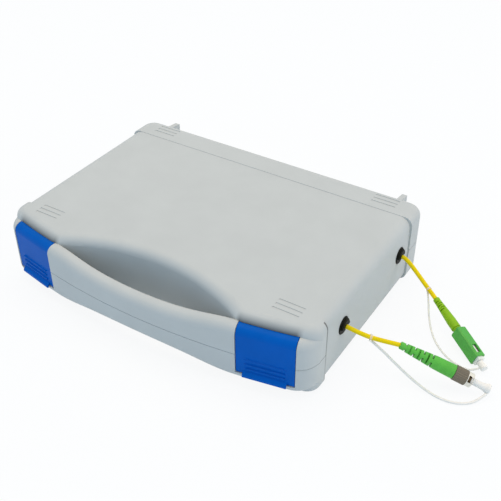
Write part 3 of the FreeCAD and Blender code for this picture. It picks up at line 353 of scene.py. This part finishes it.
finishes["foamBlack"] = openFoam("foamBlack", foamLook)

# Wound fibre: each turn a little lighter or darker than the next
fibreLook = dict(centre=(-0.045, 0.0105, 0.0), pale=linear(240, 229, 198), deep=linear(196, 178, 134),
                 turnPitch=0.0009, turnDepth=0.00002, gloss=(0.22, 0.36), sockets={"Specular IOR Level": 0.5})


def woundFibre(name, look):
    material, tree, shader, coords = newFinish(name, look)
    offset = tree.nodes.new("ShaderNodeVectorMath")
    offset.operation = "SUBTRACT"
    offset.inputs[1].default_value = look["centre"]
    tree.links.new(coords, offset.inputs[0])
    place = tree.nodes.new("ShaderNodeSeparateXYZ")
    tree.links.new(offset.outputs["Vector"], place.inputs["Vector"])
    squares = [maths(tree, "MULTIPLY", side, side) for side in place.outputs[:2]]
    radius = maths(tree, "SQRT", maths(tree, "ADD", *squares), 0.0)
    turns = streaks(tree, maths(tree, "ADD", radius, place.outputs[2]), look["turnPitch"], 4.0)
    tree.links.new(ramp(tree, turns, [(0.3, look["deep"]), (0.7, look["pale"])]), shader.inputs["Base Color"])
    tree.links.new(levels(tree, turns, *look["gloss"]), shader.inputs["Roughness"])
    relief(tree, shader, turns, look["turnDepth"])
    return material


finishes["fibreNatural"] = woundFibre("fibreNatural", fibreLook)

# Woven tie: crossed ribs of a hook-and-loop strap, darker in the hollows between the ribs: painted shade
# there
tieLook = dict(pale=linear(58, 58, 62), deep=linear(22, 22, 25), weave=0.0007, weaveDepth=0.00012,
               gloss=(0.70, 0.90), sockets={"Specular IOR Level": 0.3, "Sheen Weight": 0.25})


def wovenStrap(name, look):
    material, tree, shader, coords = newFinish(name, look)
    bands = []
    for direction in ("X", "Z"):
        wave = tree.nodes.new("ShaderNodeTexWave")
        wave.bands_direction = direction
        wave.inputs["Scale"].default_value = 0.31 / look["weave"]
        wave.inputs["Distortion"].default_value = 0.6
        tree.links.new(coords, wave.inputs["Vector"])
        bands.append(wave.outputs["Fac"])
    weave = maths(tree, "MULTIPLY", *bands)
    tree.links.new(ramp(tree, weave, [(0.0, look["deep"]), (0.8, look["pale"])]), shader.inputs["Base Color"])
    tree.links.new(levels(tree, weave, *look["gloss"], 0.0, 1.0), shader.inputs["Roughness"])
    relief(tree, shader, weave, look["weaveDepth"])
    return material


finishes["strapBlack"] = wovenStrap("strapBlack", tieLook)
print("finishes made:", len(finishes))

# Which finish each moulded or turned piece of the frame carries
carried = dict(
    caseGrey=("top_shell", "bottom_shell"),
    latchBlue=("left_latch", "right_latch"),
    grommetRubber=("front_grommet", "rear_grommet"),
    strapBlack=("coil_ties",),
    trayWhite=("front_splice_tray", "rear_splice_tray"),
    sleeveClear=("front_splice_sleeve", "rear_splice_sleeve"),
    bootGreen=("fc_boot",),
    bootLime=("sc_boot",),
    nutMetal=("fc_coupling_nut",),
    threadMetal=("fc_body",),
    barrelMetal=("fc_crimp_sleeve", "sc_crimp_sleeve"),
    ferruleWhite=("fc_ferrule", "sc_ferrule"),
)


def wear(piece, finish):
    piece.data.materials.clear()
    piece.data.materials.append(finishes[finish])


for finish, names in carried.items():
    for name in names:
        wear(nodes[name], finish)
print("frame dressed")

def surface(name, points, finish, body, closeU=True, closeV=True):
    # A grid of points, rows by columns, joined into quads; a closed way round joins its last to its first
    rows, columns = points.shape[:2]
    index = np.arange(rows * columns).reshape(rows, columns)
    lower = index if closeU else index[:-1]
    upper = np.roll(index, -1, 0) if closeU else index[1:]
    if closeV:
        quads = np.stack([lower, np.roll(lower, -1, 1), np.roll(upper, -1, 1), upper], -1)
    else:
        quads = np.stack([lower[:, :-1], lower[:, 1:], upper[:, 1:], upper[:, :-1]], -1)
    mesh = bpy.data.meshes.new(name)
    mesh.from_pydata(points.reshape(-1, 3), [], quads.reshape(-1, 4).tolist())
    mesh.polygons.foreach_set("use_smooth", np.ones(len(mesh.polygons), bool))
    mesh.update()
    piece = bpy.data.objects.new(name, mesh)
    bpy.context.scene.collection.objects.link(piece)
    wear(piece, finish)
    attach(piece, body)
    return piece


def axes(direction):
    forward = np.array(direction) / np.linalg.norm(direction)
    across = np.cross((0.0, 0.0, 1.0), forward)
    across /= np.linalg.norm(across)
    return forward, across, np.cross(forward, across)


# Tether rings: a rounded band round each cable, that holds the tether's first end
rings = dict(
    frontRing=dict(node="fc_tether", centre=(0.140424, -0.033141, 0.027562), axis=(0.9047, 0.3390, -0.2578),
                   bore=0.00165, outer=0.00215, width=0.0016),
    rearRing=dict(node="sc_tether", centre=(0.149208, 0.041552, 0.018269), axis=(0.8334, -0.4041, -0.3771),
                  bore=0.00165, outer=0.00205, width=0.0014),
)
ringGrid = dict(around=96, edge=28, square=0.55)


def addRing(name, look, grid):
    # Profile: a super-ellipse of the band's width and wall; carried once round the cable's axis
    angle = np.linspace(0, 2 * np.pi, grid["around"], endpoint=False)[:, None]
    edge = np.linspace(0, 2 * np.pi, grid["edge"], endpoint=False)[None, :]
    squared = lambda wave: np.sign(wave) * np.abs(wave) ** grid["square"]
    wall = look["outer"] - look["bore"]
    radius = (look["outer"] + look["bore"]) / 2 + wall / 2 * squared(np.cos(edge))
    along = look["width"] / 2 * squared(np.sin(edge))
    forward, across, up = axes(look["axis"])
    around = np.cos(angle)[..., None] * across + np.sin(angle)[..., None] * up
    points = np.array(look["centre"]) + radius[..., None] * around + along[..., None] * forward
    piece = surface(name, points, "ringClear", "lid")
    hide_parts(look["node"])


for name, look in rings.items():
    addRing(name, look, ringGrid)
print("tether rings added")

# Dust caps: each a bored neck that flares to a round rim, milky and soft-edged
caps = dict(
    frontCap=dict(frontPlug, node="fc_cap", back=0.0482, length=0.0132, neck=0.0022, rim=0.0033,
                  flareEnd=0.90, flare=6.0, edge=0.0005),
    rearCap=dict(rearPlug, node="sc_cap", back=0.0554, length=0.0060, neck=0.0021, rim=0.0025,
                 flareEnd=0.60, flare=2.0, edge=0.0006),
)
capBore = dict(radius=0.0013, depth=0.0044)
capGrid = dict(along=40, quarter=9, around=64)


def addCap(name, look, bore, grid):
    # Profile, from the bore's floor out to its mouth, along the neck, whose radius grows with a power of
    # the way along it, round the rim's edge by a quarter circle and in to the middle of the end;
    # turned once round the plug's axis
    share = np.linspace(0, 1, grid["along"])
    grown = np.minimum(share / look["flareEnd"], 1.0) ** look["flare"]
    quarter = np.linspace(0, np.pi / 2, grid["quarter"])
    front = look["length"] - look["edge"]
    along = np.concatenate([[bore["depth"], bore["depth"], 0.0], share * front,
                            front + look["edge"] * np.sin(quarter), [look["length"]]])
    radius = np.concatenate([[0.0, bore["radius"], bore["radius"]],
                             look["neck"] + (look["rim"] - look["neck"]) * grown,
                             look["rim"] - look["edge"] * (1 - np.cos(quarter)), [0.0]])
    angle = np.linspace(0, 2 * np.pi, grid["around"], endpoint=False)[None, :, None]
    forward, across, up = axes(look["axis"])
    around = np.cos(angle) * across + np.sin(angle) * up
    middle = np.array(look["start"]) + (look["back"] + along)[:, None, None] * forward
    points = middle + radius[:, None, None] * around
    piece = surface(name, points, "capClear", look["node"], closeU=False)
    closePoles(piece.data)
    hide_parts(look["node"])


def closePoles(mesh):
    shape = bmesh.new()
    shape.from_mesh(mesh)
    bmesh.ops.remove_doubles(shape, verts=shape.verts, dist=1e-7)
    bmesh.ops.recalc_face_normals(shape, faces=shape.faces)
    shape.to_mesh(mesh)
    shape.free()


for name, look in caps.items():
    addCap(name, look, capBore, capGrid)
print("dust caps turned")

# Springs: a helix of round wire behind each ferrule, drawn at one fixed length (in the real plug it shortens
# as the ferrule is pushed in)
springs = dict(
    frontSpring=dict(frontPlug, node="fc_spring", joint="fc_ferrule_float", back=0.0358),
    rearSpring=dict(rearPlug, node="sc_spring", joint="sc_ferrule_float", back=0.0430),
)
springWire = dict(length=0.0050, radius=0.0016, thick=0.0002, turns=7, steps=40, sides=10, keep=0.84)


def addSpring(name, look, wire):
    # Path: even turns round the plug's axis, that rise by the same step for each angle
    # Profile: the wire's circle, square to the path, and shrunk to a point at each end
    angle = np.linspace(0, 2 * np.pi * wire["turns"], wire["steps"] * wire["turns"])
    angle = np.concatenate([angle[:1], angle, angle[-1:]])[:, None]
    thick = np.full(angle.shape, wire["thick"])
    thick[[0, -1]] = 0.0
    rise = (wire["length"] - 2 * wire["thick"]) / angle[-1]
    forward, across, up = axes(look["axis"])
    out = np.cos(angle) * across + np.sin(angle) * up
    run = (np.cos(angle) * up - np.sin(angle) * across) * wire["radius"] + rise * forward
    side = np.cross(run / np.linalg.norm(run, axis=1, keepdims=True), out)
    foot = np.array(look["start"]) + look["back"] * forward
    path = foot + (wire["thick"] + rise * angle) * forward + wire["radius"] * out
    edge = np.linspace(0, 2 * np.pi, wire["sides"], endpoint=False)[None, :, None]
    circle = np.cos(edge) * out[:, None, :] + np.sin(edge) * side[:, None, :]
    piece = surface(name, path[:, None, :] + thick[:, None] * circle, "springSteel", "lid",
                    closeU=False)
    closePoles(piece.data)
    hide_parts(look["node"])
    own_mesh(piece)


for name, look in springs.items():
    addSpring(name, look, springWire)
print("springs wound")

# Push-pull plug: its grip and the frame inside lie turned about the plug's axis, window side up
plugTurn = dict(rearPlug, degrees=72.0)
turnedPieces = dict(
    pushPullGrip=dict(node="sc_housing", body="sc_housing", finish="housingGreen", slot="housing_green"),
    pushPullFrame=dict(node="sc_inner_body", body="lid", finish="innerWhite", slot="tray_white"),
)


def addTurned(name, look, turn):
    # Each point p from the axis becomes p cos + (k x p) sin + k (k . p)(1 - cos), with k along the axis
    mesh = nodes[look["node"]].data.copy()
    mesh.name = name
    points = np.empty(len(mesh.vertices) * 3)
    mesh.vertices.foreach_get("co", points)
    offset = points.reshape(-1, 3) - turn["start"]
    axis = axes(turn["axis"])[0]
    angle = np.radians(turn["degrees"])
    along = np.outer(offset @ axis, axis)
    swung = offset * np.cos(angle) + np.cross(axis, offset) * np.sin(angle) + along * (1 - np.cos(angle))
    mesh.vertices.foreach_set("co", (swung + turn["start"]).ravel())
    mesh.update()
    piece = bpy.data.objects.new(name, mesh)
    bpy.context.scene.collection.objects.link(piece)
    wear(piece, look["finish"])
    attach(piece, look["body"])
    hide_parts(look["node"])


for name, look in turnedPieces.items():
    addTurned(name, look, plugTurn)
print("push-pull plug turned")

# Cables and tethers: one smooth line each, with the route's points, in metres, as control points
cords = dict(
    frontTail=dict(node="front_tail", finish="cableYellow", slot="cable_yellow", diameter=0.0030,
                   length=0.0625, farEnd="plug", stiffness="medium",
                   onIt=("fc_boot", "fc_crimp_sleeve", "fc_body", "fc_coupling_nut", "fc_ferrule",
                         "frontSpring"),
                   route=((0.0980, -0.0370, 0.0322), (0.1042, -0.0378, 0.0322), (0.1120, -0.0377, 0.0322),
                          (0.1190, -0.0370, 0.0322), (0.1264, -0.0370, 0.0322), (0.1318, -0.0362, 0.0306),
                          (0.1404, -0.0332, 0.0274), (0.1494, -0.0296, 0.0256), (0.1576, -0.0264, 0.0243))),
    rearTail=dict(node="rear_tail", finish="cableYellow", slot="cable_yellow", diameter=0.0030,
                  length=0.0650, farEnd="plug", stiffness="medium",
                  onIt=("sc_boot", "sc_crimp_sleeve", "pushPullFrame", "pushPullGrip", "sc_ferrule",
                        "rearSpring"),
                  route=((0.0980, 0.0483, 0.0322), (0.1042, 0.0491, 0.0322), (0.1120, 0.0490, 0.0322),
                         (0.1190, 0.0483, 0.0322), (0.1264, 0.0483, 0.0322), (0.1308, 0.0477, 0.0297),
                         (0.1362, 0.0467, 0.0257), (0.1424, 0.0447, 0.0216), (0.1492, 0.0416, 0.0182),
                         (0.1566, 0.0378, 0.0152))),
    frontTether=dict(node="fc_tether", finish="capClear", slot="cap_clear", diameter=0.0017, length=0.0881,
                     farEnd="fitting", stiffness="limp", onIt=("frontRing", "frontCap"),
                     route=((0.1399, -0.0330, 0.0253), (0.1474, -0.0314, 0.0196), (0.1576, -0.0304, 0.0114),
                            (0.1688, -0.0308, 0.0050), (0.1800, -0.0326, 0.0020), (0.1902, -0.0340, 0.0012),
                            (0.1992, -0.0326, 0.0011), (0.2058, -0.0290, 0.0011), (0.2104, -0.0238, 0.0016),
                            (0.2134, -0.0174, 0.0034))),
    rearTether=dict(node="sc_tether", finish="capClear", slot="cap_clear", diameter=0.0013, length=0.0776,
                    farEnd="fitting", stiffness="limp", onIt=("rearRing", "rearCap"),
                    route=((0.1487, 0.0417, 0.0163), (0.1520, 0.0369, 0.0116), (0.1558, 0.0296, 0.0066),
                           (0.1608, 0.0216, 0.0032), (0.1670, 0.0136, 0.0015), (0.1746, 0.0066, 0.0010),
                           (0.1834, 0.0014, 0.0009), (0.1924, -0.0010, 0.0010), (0.1982, -0.0008, 0.0018),
                           (0.2020, 0.0013, 0.0038))),
    frontLead=dict(node="front_fibre_lead", finish="fibreNatural", slot="fibre_natural", diameter=0.0009,
                   length=0.0554, farEnd="object", stiffness="medium", onIt=(),
                   route=((0.03800, -0.03700, 0.0322), (0.02008, -0.03974, 0.0322),
                          (0.00216, -0.04671, 0.0322), (-0.01576, -0.04945, 0.0322))),
    rearLead=dict(node="rear_fibre_lead", finish="fibreNatural", slot="fibre_natural", diameter=0.0009,
                  length=0.0586, farEnd="object", stiffness="medium", onIt=(),
                  route=((0.03800, 0.04830, 0.0322), (0.02008, 0.05317, 0.0322), (0.00216, 0.06558, 0.0322),
                         (-0.01576, 0.07045, 0.0322))),
)


def addCord(name, look):
    route = np.array(look["route"])
    curve = bpy.data.curves.new(name, "CURVE")
    curve.dimensions = "3D"
    curve.bevel_depth = look["diameter"] / 2
    curve.bevel_resolution = 5
    curve.resolution_u = 10
    curve.use_fill_caps = True
    spline = curve.splines.new("NURBS")            # the route's points are its control points
    spline.points.add(len(route) - 1)
    spline.points.foreach_set("co", np.column_stack([route, np.ones(len(route))]).ravel())
    spline.order_u = 3
    spline.use_endpoint_u = True
    piece = bpy.data.objects.new(name, curve)
    bpy.context.scene.collection.objects.link(piece)
    wear(piece, look["finish"])
    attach(piece, "lid")
    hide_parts(look["node"])
    return piece


for name, look in cords.items():
    addCord(name, look)
print("cords laid:", len(cords))

# Fibre coil: round turns side by side, seen as ridges on a rounded ring
coil = dict(centre=(-0.045, 0.0105), inner=0.0460, outer=0.0650, low=0.030, high=0.043, corner=0.004,
            fibre=0.0009, ridge=0.00022, waver=0.00012, waves=3, shift=40, points=6, around=160)


def addCoil(look):
    # Profile: a rounded rectangle, pulled in between the turns by a rectified sine; carried round the ring
    # with a slow waver so that the turns don't lie dead level
    wide = (look["outer"] - look["inner"]) / 2
    tall = (look["high"] - look["low"]) / 2
    flatWide = wide - look["corner"]
    flatTall = tall - look["corner"]
    length = 4 * (flatWide + flatTall) + 2 * np.pi * look["corner"]
    turns = int(length / look["fibre"])
    step = np.linspace(0, 1, turns * look["points"], endpoint=False)
    corners = np.array([[1, 1], [-1, 1], [-1, -1], [1, -1]]) * (flatWide, flatTall)
    bend = np.pi / 2 * look["corner"]
    lengths = np.array([2 * flatTall, bend, 2 * flatWide, bend] * 2)
    marks = np.concatenate([[0], np.cumsum(lengths)]) / length
    part = np.searchsorted(marks, step, side="right") - 1
    within = (step - marks[part]) / (marks[part + 1] - marks[part])
    quarter = part // 2
    turned = quarter * np.pi / 2 + np.where(part % 2 == 1, within * np.pi / 2, 0.0)
    normal = np.stack([np.cos(turned), np.sin(turned)], 1)
    before = corners[(quarter - 1) % 4]
    here = corners[quarter]
    centre = np.where((part % 2 == 1)[:, None], here, before + (here - before) * within[:, None])
    pull = look["ridge"] * (1 - np.abs(np.sin(np.pi * turns * step)))
    profile = centre + normal * (look["corner"] - pull)[:, None]
    angle = np.linspace(0, 2 * np.pi, look["around"], endpoint=False)[:, None]
    waver = look["waver"] * np.sin(look["waves"] * angle + look["shift"] * step[None, :])
    middle = (look["outer"] + look["inner"]) / 2
    radius = middle + profile[None, :, 0] - np.abs(waver)
    height = np.broadcast_to((look["high"] + look["low"]) / 2 + profile[:, 1], radius.shape)
    x = look["centre"][0] + radius * np.cos(angle)
    y = look["centre"][1] + radius * np.sin(angle)
    piece = surface("fibreCoil", np.stack([x, y, height], -1), "fibreNatural", "lid")
    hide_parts("fibre_coil")


addCoil(coil)
print("coil wound")

# Foam bodies: the cut blocks, with softened edges and a slightly uneven cut face
foams = dict(
    foamTray=dict(node="foam_tray", body="lid", voxel=0.0018, rounds=6, uneven=0.0005, blotch=0.018),
    foamPad=dict(node="foam_pad", body="base", voxel=0.0020, rounds=6, uneven=0.0005, blotch=0.022),
)


def addFoam(name, look):
    mesh = nodes[look["node"]].data.copy()
    mesh.name = name
    piece = bpy.data.objects.new(name, mesh)
    bpy.context.scene.collection.objects.link(piece)
    wear(piece, "foamBlack")
    grid = piece.modifiers.new("even grid", "REMESH")
    grid.mode = "VOXEL"
    grid.voxel_size = look["voxel"]
    grid.use_smooth_shade = True
    soft = piece.modifiers.new("soft edges", "SMOOTH")
    soft.factor = 0.5
    soft.iterations = look["rounds"]
    blotches = bpy.data.textures.new(name, "CLOUDS")
    blotches.noise_scale = look["blotch"]
    lumps = piece.modifiers.new("uneven cut", "DISPLACE")
    lumps.texture = blotches
    lumps.texture_coords = "LOCAL"
    lumps.strength = look["uneven"]
    lumps.mid_level = 1.0                          # only ever inwards
    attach(piece, look["body"])
    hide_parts(look["node"])


for name, look in foams.items():
    addFoam(name, look)
print("foam bedded")

# Stage: a white floor under a cool dome, a warm overhead panel and a weaker one from the right
stage = dict(floor=2.0, floorColour=linear(234, 242, 248), whiteShare=0.90, fill=(0.75, 1.0, 1.25, 1.0),
             worldStrength=0.65)
lamps = dict(
    overhead=dict(place=(-0.25, 0.10, 1.40), target=(0, 0, 0.03), size=1.5, power=8.3,
                  colour=(1.34, 1.0, 0.61)),
    rightPanel=dict(place=(1.30, 0.45, 0.70), target=(0, 0, 0.03), size=1.0, power=4.4,
                    colour=(1.28, 1.0, 0.74)),
)


def whiteToTheEye(tree, shaded, share):
    # Camera, glossy and see-through rays meet plain white; other rays meet the shaded surface
    rays = tree.nodes.new("ShaderNodeLightPath")
    seen = maths(tree, "MAXIMUM", rays.outputs["Is Camera Ray"], rays.outputs["Is Glossy Ray"])
    seen = maths(tree, "MAXIMUM", seen, rays.outputs["Is Transmission Ray"])
    white = tree.nodes.new("ShaderNodeEmission")
    mix = tree.nodes.new("ShaderNodeMixShader")
    tree.links.new(maths(tree, "MULTIPLY", seen, share), mix.inputs["Fac"])
    tree.links.new(shaded, mix.inputs[1])
    tree.links.new(white.outputs["Emission"], mix.inputs[2])
    return mix.outputs["Shader"]


def addStage(look):
    x, y = np.meshgrid(np.linspace(-1, 1, 2), np.linspace(-1, 1, 2))
    corners = np.stack([x, y, np.zeros_like(x)], -1).reshape(-1, 3) * look["floor"]
    mesh = bpy.data.meshes.new("floor")
    mesh.from_pydata(corners, [], [(0, 1, 3, 2)])
    material = bpy.data.materials.new("paleFloor")
    material.use_nodes = True
    tree = material.node_tree
    shader = tree.nodes["Principled BSDF"]
    shader.inputs["Base Color"].default_value = look["floorColour"]
    shader.inputs["Roughness"].default_value = 0.9
    surfaceOut = tree.nodes["Material Output"].inputs["Surface"]
    tree.links.new(whiteToTheEye(tree, shader.outputs["BSDF"], look["whiteShare"]), surfaceOut)
    mesh.materials.append(material)
    floor = bpy.data.objects.new("floor", mesh)
    bpy.context.scene.collection.objects.link(floor)
    world = bpy.data.worlds.new("studio")
    world.use_nodes = True
    tree = world.node_tree
    background = tree.nodes["Background"]
    background.inputs["Color"].default_value = look["fill"]
    background.inputs["Strength"].default_value = look["worldStrength"]
    worldOut = tree.nodes["World Output"].inputs["Surface"]
    tree.links.new(whiteToTheEye(tree, background.outputs["Background"], 1.0), worldOut)
    bpy.context.scene.world = world


def addLamp(name, look):
    data = bpy.data.lights.new(name, "AREA")
    data.shape = "DISK"
    data.size = look["size"]
    data.energy = look["power"]
    data.color = look["colour"]
    lamp = bpy.data.objects.new(name, data)
    aim = Vector(look["target"]) - Vector(look["place"])
    lamp.matrix_world = Matrix.Translation(look["place"]) @ aim.to_track_quat("-Z", "Y").to_matrix().to_4x4()
    bpy.context.scene.collection.objects.link(lamp)


addStage(stage)
for name, look in lamps.items():
    addLamp(name, look)
bpy.context.scene.view_settings.view_transform = "Standard"
print("stage lit")
